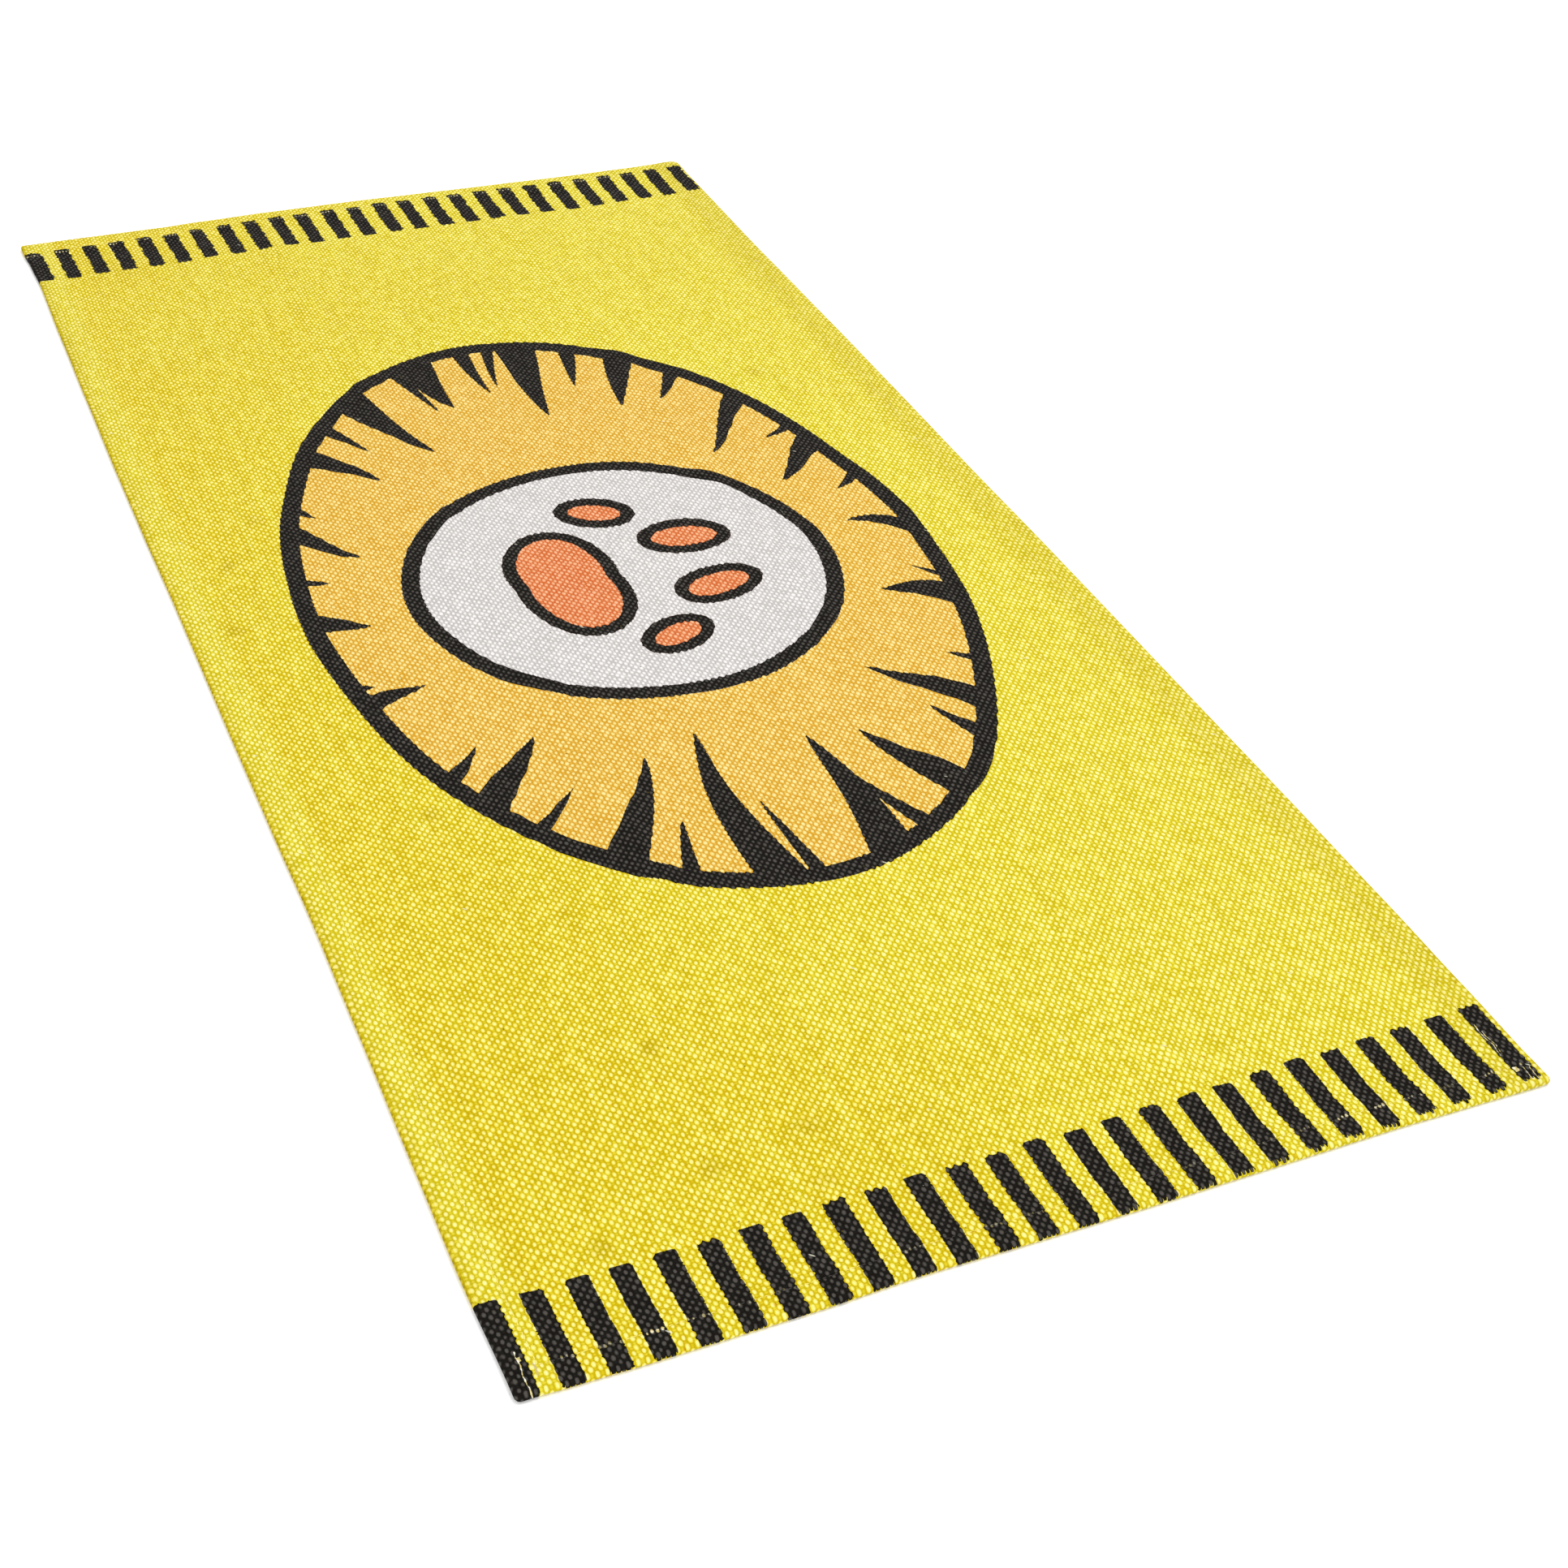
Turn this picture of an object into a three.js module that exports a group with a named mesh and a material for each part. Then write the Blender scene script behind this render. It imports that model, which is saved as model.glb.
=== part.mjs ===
// A flat woven cotton floor rug with a turned and sewn hem on all four sides.
// Millimetres, +Z up. The rug lies flat with its length along X and its width along Y.
// The origin is on the floor, under the middle of the rug.
import * as THREE from "three";

// Driving dimensions
const LENGTH = 1400;
const WIDTH = 650;
const CLOTH = 2.4; // one layer of the weave
const HEM = 20; // turned under on every side
const HEM_THICK = 4.2; // two layers, pressed flat by the sewing
const HEM_FADE = 16; // past the hem's inner edge the cloth slopes down to the floor
const HEM_STEP = 0.4; // width of the step where the turned layer ends underneath
const CORNER_RISE = 0.6; // two hems cross at each corner
const EDGE_ROUND = 2; // how far the folded edge is rounded over
const EDGE_FACES = 4; // steps round the folded edge
const MESH_STEP = 60; // spacing of the surface points where nothing bends

// Each corner is rounded by its own radius. Its x and y say on which side of the middle it lies.
const CORNERS = [
  { x: -1, y: -1, radius: 2.5 },
  { x: -1, y: 1, radius: 8 },
  { x: 1, y: 1, radius: 3 },
  { x: 1, y: -1, radius: 3.5 },
];
const CORNER_LINES = [3.5, 5.5, 8, 14]; // distances from the edge of the surface points beside a corner

// The rug was stored folded in thirds and then in half, and keeps a soft ridge at each fold.
const CREASES = [
  { along: "x", at: 120, rise: 2.0, reach: 17 },
  { along: "x", at: -108, rise: 1.6, reach: 19 },
  { along: "y", at: -14, rise: 0.8, reach: 22 },
];

// How far each edge lies outside the plain rectangle, at places along it.
const LONG_EDGES = [
  { at: -690, left: 0.6, right: -3.0 },
  { at: -655, left: -1.4, right: -3.0 },
  { at: -620, left: -2.4, right: -2.9 },
  { at: -510, left: -1.0, right: -3.1 },
  { at: -400, left: -0.2, right: -1.9 },
  { at: -280, left: 0.5, right: -0.8 },
  { at: -180, left: 0.4, right: -0.5 },
  { at: -60, left: -0.5, right: -0.5 },
  { at: 80, left: -0.5, right: 0.6 },
  { at: 210, left: -0.9, right: 0.6 },
  { at: 300, left: -1.8, right: 0.5 },
  { at: 410, left: -1.0, right: 0.7 },
  { at: 530, left: 0.0, right: 0.1 },
  { at: 610, left: 0.6, right: -1.1 },
  { at: 690, left: -1.1, right: -2.5 },
];
const SHORT_EDGES = [
  { at: -315, near: -2.3, far: -6.4 },
  { at: -290, near: -1.7, far: -4.4 },
  { at: -250, near: -1.0, far: -4.1 },
  { at: -195, near: -1.0, far: -3.5 },
  { at: -160, near: -1.0, far: -1.3 },
  { at: -95, near: -2.5, far: 1.0 },
  { at: -10, near: -1.3, far: 1.6 },
  { at: 50, near: -1.0, far: 0.4 },
  { at: 115, near: -1.4, far: -0.7 },
  { at: 215, near: -1.7, far: -1.8 },
  { at: 260, near: -0.9, far: -1.0 },
  { at: 315, near: 0.0, far: 0.5 },
];

const cotton = new THREE.MeshStandardMaterial({ color: 0xdac84b, roughness: 0.95, metalness: 0 });

const { clamp, lerp, smoothstep } = THREE.MathUtils;

// The value of one column of a table at a place, eased from row to row.
function fromTable(rows, column, place) {
  const after = rows.findIndex((row) => row.at > place);
  if (after === 0) return rows[0][column];
  if (after < 0) return rows[rows.length - 1][column];
  const low = rows[after - 1];
  const high = rows[after];
  return lerp(low[column], high[column], smoothstep(place, low.at, high.at));
}

// Lines of surface points across one side of the rug: close together at the hems and creases.
function gridLines(side, along) {
  const half = side / 2;
  const fromEdge = [EDGE_ROUND, ...CORNER_LINES, HEM, HEM + HEM_STEP, HEM + HEM_FADE / 2, HEM + HEM_FADE];
  const lines = fromEdge.flatMap((distance) => [distance - half, half - distance]);
  const creases = CREASES.filter((crease) => crease.along !== along);
  for (const crease of creases) {
    for (let share = -1; share <= 1; share += 0.5) lines.push(crease.at + share * crease.reach);
  }
  const flat = side - 2 * (HEM + HEM_FADE);
  const steps = Math.ceil(flat / MESH_STEP);
  for (let step = 1; step < steps; step++) {
    const place = (step / steps - 0.5) * flat;
    if (lines.every((line) => Math.abs(line - place) > MESH_STEP / 3)) lines.push(place);
  }
  return lines.sort((a, b) => a - b);
}

// Distances from a point of the plain rectangle to its nearest end and its nearest long edge.
function insets(x, y) {
  return [LENGTH / 2 - Math.abs(x), WIDTH / 2 - Math.abs(y)];
}

// Rounds a corner: squares round the corner's centre become arcs.
function roundedCorner(x, y) {
  const [fromEnd, fromSide] = insets(x, y);
  const { radius } = CORNERS.find((corner) => corner.x * x >= 0 && corner.y * y >= 0);
  if (fromEnd >= radius || fromSide >= radius) return [x, y];
  const u = radius - fromEnd;
  const v = radius - fromSide;
  const pull = Math.max(u, v) / Math.hypot(u, v);
  const endX = LENGTH / 2 - radius + u * pull;
  const sideY = WIDTH / 2 - radius + v * pull;
  return [Math.sign(x) * endX, Math.sign(y) * sideY];
}

// Moves a point of the plain rectangle with the bowed edges.
function bowed(x, y) {
  const shareX = clamp(x / LENGTH + 0.5, 0, 1);
  const shareY = clamp(y / WIDTH + 0.5, 0, 1);
  const dx = lerp(-fromTable(SHORT_EDGES, "far", y), fromTable(SHORT_EDGES, "near", y), shareX);
  const dy = lerp(-fromTable(LONG_EDGES, "left", x), fromTable(LONG_EDGES, "right", x), shareY);
  return [x + dx, y + dy];
}

// Height of the creases, which die out over the hem.
function creaseRise(x, y) {
  const inside = Math.min(...insets(x, y)) - HEM;
  const held = smoothstep(inside, 0, 2 * HEM_FADE);
  let rise = 0;
  for (const crease of CREASES) {
    const offset = ((crease.along === "x" ? y : x) - crease.at) / crease.reach;
    if (Math.abs(offset) < 1) rise = Math.max(rise, crease.rise * Math.cos((offset * Math.PI) / 2) ** 2);
  }
  return rise * held;
}

// Underside: on the floor under the hem, up over the step, and down to the floor again.
function underside(x, y) {
  const inside = Math.min(...insets(x, y)) - HEM;
  if (inside <= 0) return 0;
  const hemLift = (HEM_THICK - CLOTH) * (1 - smoothstep(inside, HEM_STEP, HEM_FADE));
  return hemLift + creaseRise(x, y);
}

function topside(x, y) {
  const [fromEnd, fromSide] = insets(x, y);
  if (Math.min(fromEnd, fromSide) > HEM) return underside(x, y) + CLOTH;
  const crossing = (distance) => 1 - smoothstep(distance, HEM - 4, HEM + HEM_FADE / 2);
  return HEM_THICK + CORNER_RISE * crossing(fromEnd) * crossing(fromSide);
}

// Grid points round the rim, in order, starting at the low corner.
function rimPoints(columns, rows) {
  const rim = [];
  for (let i = 0; i < columns; i++) rim.push([i, 0]);
  for (let j = 1; j < rows; j++) rim.push([columns - 1, j]);
  for (let i = columns - 2; i >= 0; i--) rim.push([i, rows - 1]);
  for (let j = rows - 2; j > 0; j--) rim.push([0, j]);
  return rim;
}

// The whole rug as one closed skin: underside, folded edge and top.
function rugGeometry() {
  const xs = gridLines(LENGTH, "x");
  const ys = gridLines(WIDTH, "y");
  const points = [];
  const faces = [];

  const addPoint = (x, y, z) => {
    const [flatX, flatY] = roundedCorner(x, y);
    points.push(...bowed(flatX, flatY), z);
    return points.length / 3 - 1;
  };
  const addQuad = (a, b, c, d) => faces.push(a, b, c, a, c, d);

  const under = xs.map((x) => ys.map((y) => addPoint(x, y, underside(x, y))));
  const top = xs.map((x) => ys.map((y) => addPoint(x, y, topside(x, y))));
  for (let i = 0; i + 1 < xs.length; i++) {
    for (let j = 0; j + 1 < ys.length; j++) {
      addQuad(top[i][j], top[i + 1][j], top[i + 1][j + 1], top[i][j + 1]);
      addQuad(under[i][j], under[i][j + 1], under[i + 1][j + 1], under[i + 1][j]);
    }
  }

  const rim = rimPoints(xs.length, ys.length);
  let lower = rim.map(([i, j]) => under[i][j]);
  for (let face = 1; face <= EDGE_FACES; face++) {
    const turn = (face / EDGE_FACES - 0.5) * Math.PI;
    const outward = EDGE_ROUND * Math.cos(turn);
    const heightShare = (1 + Math.sin(turn)) / 2;
    const upper = rim.map(([i, j]) => {
      if (face === EDGE_FACES) return top[i][j];
      const onEnd = i === 0 || i === xs.length - 1;
      const onSide = j === 0 || j === ys.length - 1;
      const x = xs[i] + (onEnd ? Math.sign(xs[i]) * outward : 0);
      const y = ys[j] + (onSide ? Math.sign(ys[j]) * outward : 0);
      return addPoint(x, y, topside(xs[i], ys[j]) * heightShare);
    });
    rim.forEach((_, k) => {
      const next = (k + 1) % rim.length;
      addQuad(lower[k], lower[next], upper[next], upper[k]);
    });
    lower = upper;
  }

  const geometry = new THREE.BufferGeometry();
  geometry.setAttribute("position", new THREE.Float32BufferAttribute(points, 3));
  geometry.setIndex(faces);
  geometry.computeBoundingBox();
  const centre = geometry.boundingBox.getCenter(new THREE.Vector3());
  geometry.translate(-centre.x, -centre.y, 0);
  geometry.computeVertexNormals();
  return geometry;
}

const rug = new THREE.Mesh(rugGeometry(), cotton);
rug.name = "rug";

const group = new THREE.Group();
group.add(rug);

export default group;
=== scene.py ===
"""A flat woven cotton kids rug: printed face, turned and sewn hem, plain back.

Metres. The rug lies with its length along X and its width along Y, on a floor at z = 0.
The printed face looks up. Its paw print stands upright for someone on the -Y side.
"""

import math

import bpy
import numpy as np
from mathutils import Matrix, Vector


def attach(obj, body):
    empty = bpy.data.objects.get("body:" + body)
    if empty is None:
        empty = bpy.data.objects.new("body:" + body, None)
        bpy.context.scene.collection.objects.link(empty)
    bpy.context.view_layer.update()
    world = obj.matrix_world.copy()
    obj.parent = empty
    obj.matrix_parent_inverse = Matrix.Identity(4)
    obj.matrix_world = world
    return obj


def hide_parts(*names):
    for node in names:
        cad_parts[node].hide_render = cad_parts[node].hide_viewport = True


MM = 0.001

# Cloth and hem
LENGTH = 1400 * MM
WIDTH = 650 * MM
CLOTH = 2.4 * MM  # one layer of the weave
HEM = 20 * MM  # turned under on every side
HEM_THICK = 4.2 * MM  # two layers, pressed flat by the sewing
HEM_FADE = 16 * MM  # past the hem's inner edge the cloth slopes down to the floor
HEM_STEP = 0.4 * MM  # width of the step where the turned layer ends underneath
CORNER_RISE = 0.6 * MM  # two hems cross at each corner
CORNER_RADII = {  # a corner's radius, from its signs of x and y
    (-1, -1): 2.5 * MM,
    (-1, 1): 8.0 * MM,
    (1, 1): 3.0 * MM,
    (1, -1): 3.5 * MM,
}
EDGE_ROUND = 2 * MM  # how far the folded edge is rounded over
EDGE_FACES = 8  # steps round the folded edge
EDGE_WRAP = 1.1 * HEM_THICK  # cloth that goes round the folded edge

# Lines of surface points: close together at the hem, and at even steps on the flat middle
MESH_STEP = 5.2 * MM
RIM_LINES = [inset * MM for inset in (2, 2.6, 3.5, 5, 6.5, 8, 11, 14)]
GROOVE_LINES = (-1.2, -0.55, 0, 0.5)  # from the stitches, as shares of the groove's reach
SLOPE_LINES = (0.2, 0.45, 0.72)  # past the hem, as shares of its slope

# The rug was stored folded in thirds and then in half, and keeps a soft ridge at each fold.
CREASES = [
    {"along": "x", "at": 120 * MM, "rise": 2.0 * MM, "reach": 17 * MM},
    {"along": "x", "at": -108 * MM, "rise": 1.6 * MM, "reach": 19 * MM},
    {"along": "y", "at": -14 * MM, "rise": 0.8 * MM, "reach": 22 * MM},
]

# How far each edge lies outside the plain rectangle, in millimetres, at places along it.
LONG_EDGES = [
    {"at": -690, "left": 0.6, "right": -3.0},
    {"at": -655, "left": -1.4, "right": -3.0},
    {"at": -620, "left": -2.4, "right": -2.9},
    {"at": -510, "left": -1.0, "right": -3.1},
    {"at": -400, "left": -0.2, "right": -1.9},
    {"at": -280, "left": 0.5, "right": -0.8},
    {"at": -180, "left": 0.4, "right": -0.5},
    {"at": -60, "left": -0.5, "right": -0.5},
    {"at": 80, "left": -0.5, "right": 0.6},
    {"at": 210, "left": -0.9, "right": 0.6},
    {"at": 300, "left": -1.8, "right": 0.5},
    {"at": 410, "left": -1.0, "right": 0.7},
    {"at": 530, "left": 0.0, "right": 0.1},
    {"at": 610, "left": 0.6, "right": -1.1},
    {"at": 690, "left": -1.1, "right": -2.5},
]
SHORT_EDGES = [
    {"at": -315, "near": -2.3, "far": -6.4},
    {"at": -290, "near": -1.7, "far": -4.4},
    {"at": -250, "near": -1.0, "far": -4.1},
    {"at": -195, "near": -1.0, "far": -3.5},
    {"at": -160, "near": -1.0, "far": -1.3},
    {"at": -95, "near": -2.5, "far": 1.0},
    {"at": -10, "near": -1.3, "far": 1.6},
    {"at": 50, "near": -1.0, "far": 0.4},
    {"at": 115, "near": -1.4, "far": -0.7},
    {"at": 215, "near": -1.7, "far": -1.8},
    {"at": 260, "near": -0.9, "far": -1.0},
    {"at": 315, "near": 0.0, "far": 0.5},
]

# Loose cloth between the creases lies in long, low waves.
WAVES = [
    {"length": 330 * MM, "heading": 24, "rise": 0.5 * MM, "phase": 0.8},
    {"length": 190 * MM, "heading": 97, "rise": 0.3 * MM, "phase": 2.1},
    {"length": 118 * MM, "heading": -38, "rise": 0.18 * MM, "phase": 4.0},
]
HEM_WAVES = [
    {"length": 47 * MM, "rise": 0.22 * MM, "phase": 0.4},
    {"length": 21 * MM, "rise": 0.12 * MM, "phase": 1.9},
]

# The hem's line of stitches
STITCH_INSET = 17.4 * MM
STITCH_PITCH = 3.4 * MM
STITCH_LENGTH = 2.7 * MM
THREAD_RADIUS = 0.34 * MM
STITCH_RISE = 0.3 * MM  # how far a stitch arches over the cloth
STITCH_DIP = 2.2  # how far its ends go down again, as a share of the rise
STITCH_TAPER = 0.45  # how much thinner its ends are
STITCH_LENGTHS = (0.86, 1.08)  # the shortest and longest, as shares
THREAD_SIZES = (0.88, 1.12)
STITCH_LEAN = 0.12
STITCH_RINGS = 5  # rings of points along a stitch
STITCH_SIDES = 6
STITCH_CELLS = 50  # along each side of the stitches' bake square
GROOVE_DEPTH = 0.5 * MM
GROOVE_REACH = 1.8 * MM
GROOVE_SHARPNESS = 1.6
UNDER_GROOVE = 0.7 * MM

# Weave
WARP_PITCH = 2.74 * MM  # between yarns that run along the rug
WEFT_PITCH = 2.94 * MM  # between yarns that run across it
WEAVE_RELIEF = 0.75 * MM
YARN_WANDER = 1.6 * MM  # how far the yarns stray from straight lines
WANDER_SCALE = 60.0
FLUFF_SCALE = 900.0
# A yarn shows as a rounded oval where it comes up. Its half sizes and slant are shares of the pitch.
WARP_CROWN = {"shift": 0.0, "half_across": 0.60, "half_along": 0.80, "slant": 0.03}
WEFT_CROWN = {"shift": 1.0, "half_across": 0.50, "half_along": 0.40, "slant": 0.0}
CROWN_STRAY_ACROSS = 0.2
CROWN_STRAY_ALONG = 0.16
WEFT_HEIGHT = 0.6  # of the warp's crowns
FLUFF_HEIGHT = 0.16
# Pairs of a least share and of what chance adds to it
YARN_SIZE = (0.9, 0.2)
CROWN_SIZE = (0.86, 0.28)
# The next three set how bright the painted highlight on the crowns is
WARP_LIGHT = (0.9, 0.35)
WEFT_LIGHT = (0.12, 0.3)
FLUFF_LIGHT = (0.6, 0.8)
# The ink of a printed shape follows the yarns, so that its rim has small teeth.
INK_ALONG = 0.42 * WEFT_PITCH
INK_ACROSS = 0.22 * WARP_PITCH
INK_STRAY = 1 * MM
TOOTH_SPREAD = 2.2 * MM
TOOTH_STEEPNESS = 9 * MM
TOOTH_HALF = 0.36  # of the pitch, from the yarn's middle
TOOTH_LIMITS = (-0.7 * MM, 0.6 * MM)

# Printed stripes at the two ends
STRIPE_COUNT = 26
STRIPE_WIDTH = 13.5 * MM
# A row is placed by its middle, and its pitch grows by a small share towards the right.
# The outer and inner ends of the stripes, and the bits along the stitches that the ink missed, lie
# on smooth lines through the left edge, the middle and the right edge of the rug.
# Missed says how bare those bits are, by number of the stripe.
NEAR_STRIPES = {
    "side": 1.0, "first_longer": 4 * MM, "ragged": 0.5 * MM,
    "middle": -4.95 * MM, "pitch": 25.28 * MM, "growth": 0.0007,
    "outer": (700.4 * MM, 700.3 * MM, 694.8 * MM),
    "inner": (633.5 * MM, 633.9 * MM, 628.0 * MM),
    "bits": (682.6 * MM, 682.6 * MM, 682.6 * MM),
    "missed": {
        1: 0.4, 2: 0.4, 3: 1.0, 4: 0.6, 5: 0.25, 6: 0.15, 9: 0.3, 11: 0.35, 12: 0.2, 16: 0.2,
        18: 0.15, 19: 0.3, 20: 0.9, 21: 0.75, 22: 0.4, 23: 0.2, 24: 0.6, 25: 0.6,
    },
}
FAR_STRIPES = {
    "side": -1.0, "first_longer": 0.0, "ragged": 1.7 * MM,
    "middle": -3.05 * MM, "pitch": 25.33 * MM, "growth": 0.0005,
    "outer": (-678.9 * MM, -687.0 * MM, -686.8 * MM),
    "inner": (-621.9 * MM, -626.0 * MM, -629.2 * MM),
    "bits": (-675.0 * MM, -683.2 * MM, -683.4 * MM),
    "missed": {
        0: 0.7, 1: 0.9, 2: 0.6, 3: 1.0, 4: 0.7, 5: 0.8, 6: 0.7, 7: 0.8, 8: 0.5, 9: 0.6, 10: 0.8,
        11: 0.7, 12: 0.7, 13: 0.6, 14: 0.4, 15: 0.6, 16: 0.7, 17: 0.5, 18: 0.6, 20: 0.5, 21: 0.7,
        22: 0.8, 23: 0.5,
    },
}
MISSED_PITCH = 2.9 * MM
MISSED_STRAY = 1.6 * MM
MISSED_RIM = (0.4 * MM, 0.9 * MM)  # a missed bit is bare up to here, and covered from here on
MISSED_SIZE = (0.7, 0.6)  # the least share, and what chance adds
MISSED_SQUEEZE = 0.7  # makes the bits longer along X
MISSED_FULL = 0.2  # the share of the bits that the ink did reach
MISSED_HALF = 0.25  # of the stripes' pitch: how far from a stripe's middle the bits lie
STRIPED_END = 605 * MM  # the cloth past this line carries the stripes
STRIPE_CORNER = 2.2 * MM
STRIPE_SHIFT = 0.04  # how far a stripe strays, as a share of the pitch
INNER_STRAY = 2 * MM
OUTER_STRAY = 1.4 * MM
INK_BLUR = 0.15 * MM  # half the width of a printed shape's soft rim

# Thin scratches along X where the ink missed the near end
SCRATCHES = [
    {"start": 671 * MM, "end": 702 * MM, "at": -316.2 * MM, "half": 0.3 * MM},
    {"start": 675 * MM, "end": 678 * MM, "at": -315.2 * MM, "half": 1.2 * MM},
    {"start": 681 * MM, "end": 690 * MM, "at": -309.6 * MM, "half": 0.7 * MM},
    {"start": 643 * MM, "end": 672 * MM, "at": 308.5 * MM, "half": 0.25 * MM},
    {"start": 650 * MM, "end": 671 * MM, "at": 309.9 * MM, "half": 0.2 * MM},
    {"start": 683 * MM, "end": 687 * MM, "at": 309.3 * MM, "half": 1.3 * MM},
    {"start": 684 * MM, "end": 696 * MM, "at": 314.0 * MM, "half": 0.2 * MM},
    {"start": 686 * MM, "end": 697 * MM, "at": 317.8 * MM, "half": 0.3 * MM},
]

SCRATCH_WOBBLE = 4 * MM
SCRATCH_GAPS = 1.2 * MM
SCRATCH_RIM = (-0.1 * MM, 0.25 * MM)

# Soft darker smudges on the yellow
SMUDGES = [
    {"x": 587 * MM, "y": -170 * MM, "reach": 14 * MM},
    {"x": 619 * MM, "y": -249 * MM, "reach": 12 * MM},
    {"x": 578 * MM, "y": -109 * MM, "reach": 14 * MM},
    {"x": 619 * MM, "y": -114 * MM, "reach": 11 * MM},
    {"x": 486 * MM, "y": -170 * MM, "reach": 12 * MM},
    {"x": 231 * MM, "y": -224 * MM, "reach": 12 * MM},
    {"x": 5 * MM, "y": 300 * MM, "reach": 10 * MM},
    {"x": -19 * MM, "y": -292 * MM, "reach": 12 * MM},
    {"x": -107 * MM, "y": -276 * MM, "reach": 12 * MM},
    {"x": -163 * MM, "y": -242 * MM, "reach": 12 * MM},
    {"x": -197 * MM, "y": 302 * MM, "reach": 10 * MM},
    {"x": -266 * MM, "y": 221 * MM, "reach": 14 * MM},
    {"x": -350 * MM, "y": 298 * MM, "reach": 11 * MM},
]

# The yellow ground's noises, and the values between which they change a tone
PATCH_SCALE = 5.0
# The next two ranges set the golden tone towards the left long edge, in part painted shade, and the
# painted light towards the right one
GOLDEN_RANGE = (0.28, 0.8)
RIGHT_LIGHT_RANGE = (0.25, 0.75)
THREAD_SCALE = 330.0
THREAD_RANGE = (0.54, 0.74)
STREAK_SCALE = 125.0
STREAK_STRETCH = 0.06
STREAK_RANGE = (0.5, 0.75)
# How strongly each of them changes it
# The next share sets how strong the painted light towards the right long edge is
RIGHT_LIGHT_SHARE = 0.8
ORANGE_SHARE = 0.5
OLIVE_SHARE = 0.35
STREAK_SHARE = 0.6
STREAK_SHADE = 0.09
SMUDGE_SHARE = 0.3
AMBER_SHARE = 0.6
MARK_SHARE = 0.7
# Bands of painted light and shade along the long edges: how far from the edge a tone starts and is full.
# The right hem and the rounded and folded left edge get painted shade, the left hem painted light.
RIGHT_HEM_SHADE = {"start": 38 * MM, "full": 22 * MM, "share": 0.17}
LEFT_HEM_LIGHT = {"start": 31 * MM, "full": 19 * MM, "share": 0.8}
ROUNDING_SHADE = {"start": 11 * MM, "full": 2 * MM, "share": 0.22}
FOLD_SHADE = {"start": 2.6 * MM, "full": 0.6 * MM, "share": 0.9}

# Marks scattered over the cloth, one for each square of the spacing
FLECKS = {"spacing": 46 * MM, "radius": 0.8 * MM, "seed": 9.0}
LINT_BITS = {"spacing": 88 * MM, "radius": 0.6 * MM, "seed": 11.0, "stretch": 4.0}
AMBER_BITS = {"spacing": 31 * MM, "radius": 1.3 * MM, "seed": 10.0}

# Printed badge in the middle: an oval with a coat of tapered stripes, a disc and a paw print
BADGE_LENGTH = 770 * MM
BADGE_WIDTH = 492 * MM
BADGE_LINE = 15 * MM
BADGE_ROOM = 12 * MM  # cloth round the badge that has the badge's finish too
BADGE_DRIFT = 9 * MM  # how unsteady its lines are
DISC_RADIUS = 166 * MM
DISC_LINE = 14 * MM
PAW_LINE = 11 * MM
# The pads of the paw's right half, of which the left half is a mirror image; turns are in degrees
PAW_PADS = [
    {"x": 14 * MM, "y": -44 * MM, "turn": 0, "half_x": 60 * MM, "half_y": 42 * MM},
    {"x": 88 * MM, "y": 8 * MM, "turn": 24, "half_x": 22 * MM, "half_y": 32 * MM},
    {"x": 35 * MM, "y": 62 * MM, "turn": 8, "half_x": 24 * MM, "half_y": 36 * MM},
]
# Two rows of stripes grow in from the badge's rim. Reach is their share of the way to the disc.
COAT_STRIPES = 18  # in each row
COAT_SHIFT = 0.34  # how far their roots, tips and middles stray, as shares of the pitch
COAT_LEAN = 0.7
COAT_WAVE = 0.06
COAT_TAPER = 0.75
COAT_REACH = (0.7, 0.6)  # the least share, and what chance adds
COAT_WIDTH = (0.75, 0.5)
LONG_STRIPES = {"shift": 0.0, "reach": 0.62, "half": 16 * MM}
SHORT_STRIPES = {"shift": 0.5, "reach": 0.34, "half": 8 * MM}


def srgb(red, green, blue):
    """A colour given as 0 to 255 on a screen, as the shader's linear numbers."""
    shares = [value / 255 for value in (red, green, blue)]
    linear = [s / 12.92 if s <= 0.04045 else ((s + 0.055) / 1.055) ** 2.4 for s in shares]
    return (*linear, 1.0)


# Each ink has three tones: painted shade in the gap beside a yarn, the yarn's tone, and a painted
# highlight on its lit crown.
YELLOW = {"gap": srgb(189, 168, 3), "yarn": srgb(220, 208, 60), "crown": srgb(233, 223, 145)}
GOLDEN = {"gap": srgb(186, 159, 0), "yarn": srgb(215, 197, 42), "crown": srgb(232, 219, 132)}
# LEMON is the lighter yellow of the streaks, and also the painted light towards the right long edge and
# along the left hem
LEMON = {"gap": srgb(191, 173, 10), "yarn": srgb(218, 207, 67), "crown": srgb(233, 223, 149)}
ORANGE = {"gap": srgb(186, 145, 0), "yarn": srgb(221, 194, 52), "crown": srgb(233, 217, 140)}
OLIVE = {"gap": srgb(173, 157, 0), "yarn": srgb(210, 203, 53), "crown": srgb(230, 223, 136)}
# SHADED is the yellow in painted shade; the smudges and the streaks' darker side use it too
SHADED = {"gap": srgb(138, 116, 0), "yarn": srgb(173, 149, 16), "crown": srgb(194, 171, 45)}
AMBER = {"gap": srgb(173, 110, 0), "yarn": srgb(201, 155, 34), "crown": srgb(225, 184, 92)}
BARE = {"gap": srgb(190, 173, 103), "yarn": srgb(218, 205, 155), "crown": srgb(235, 233, 212)}
OFF_WHITE = {"gap": srgb(177, 173, 170), "yarn": srgb(203, 199, 196), "crown": srgb(225, 222, 220)}
SALMON = {"gap": srgb(192, 92, 40), "yarn": srgb(214, 134, 88), "crown": srgb(229, 171, 132)}
TAN = {"gap": srgb(197, 144, 30), "yarn": srgb(218, 182, 86), "crown": srgb(233, 210, 142)}
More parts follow.
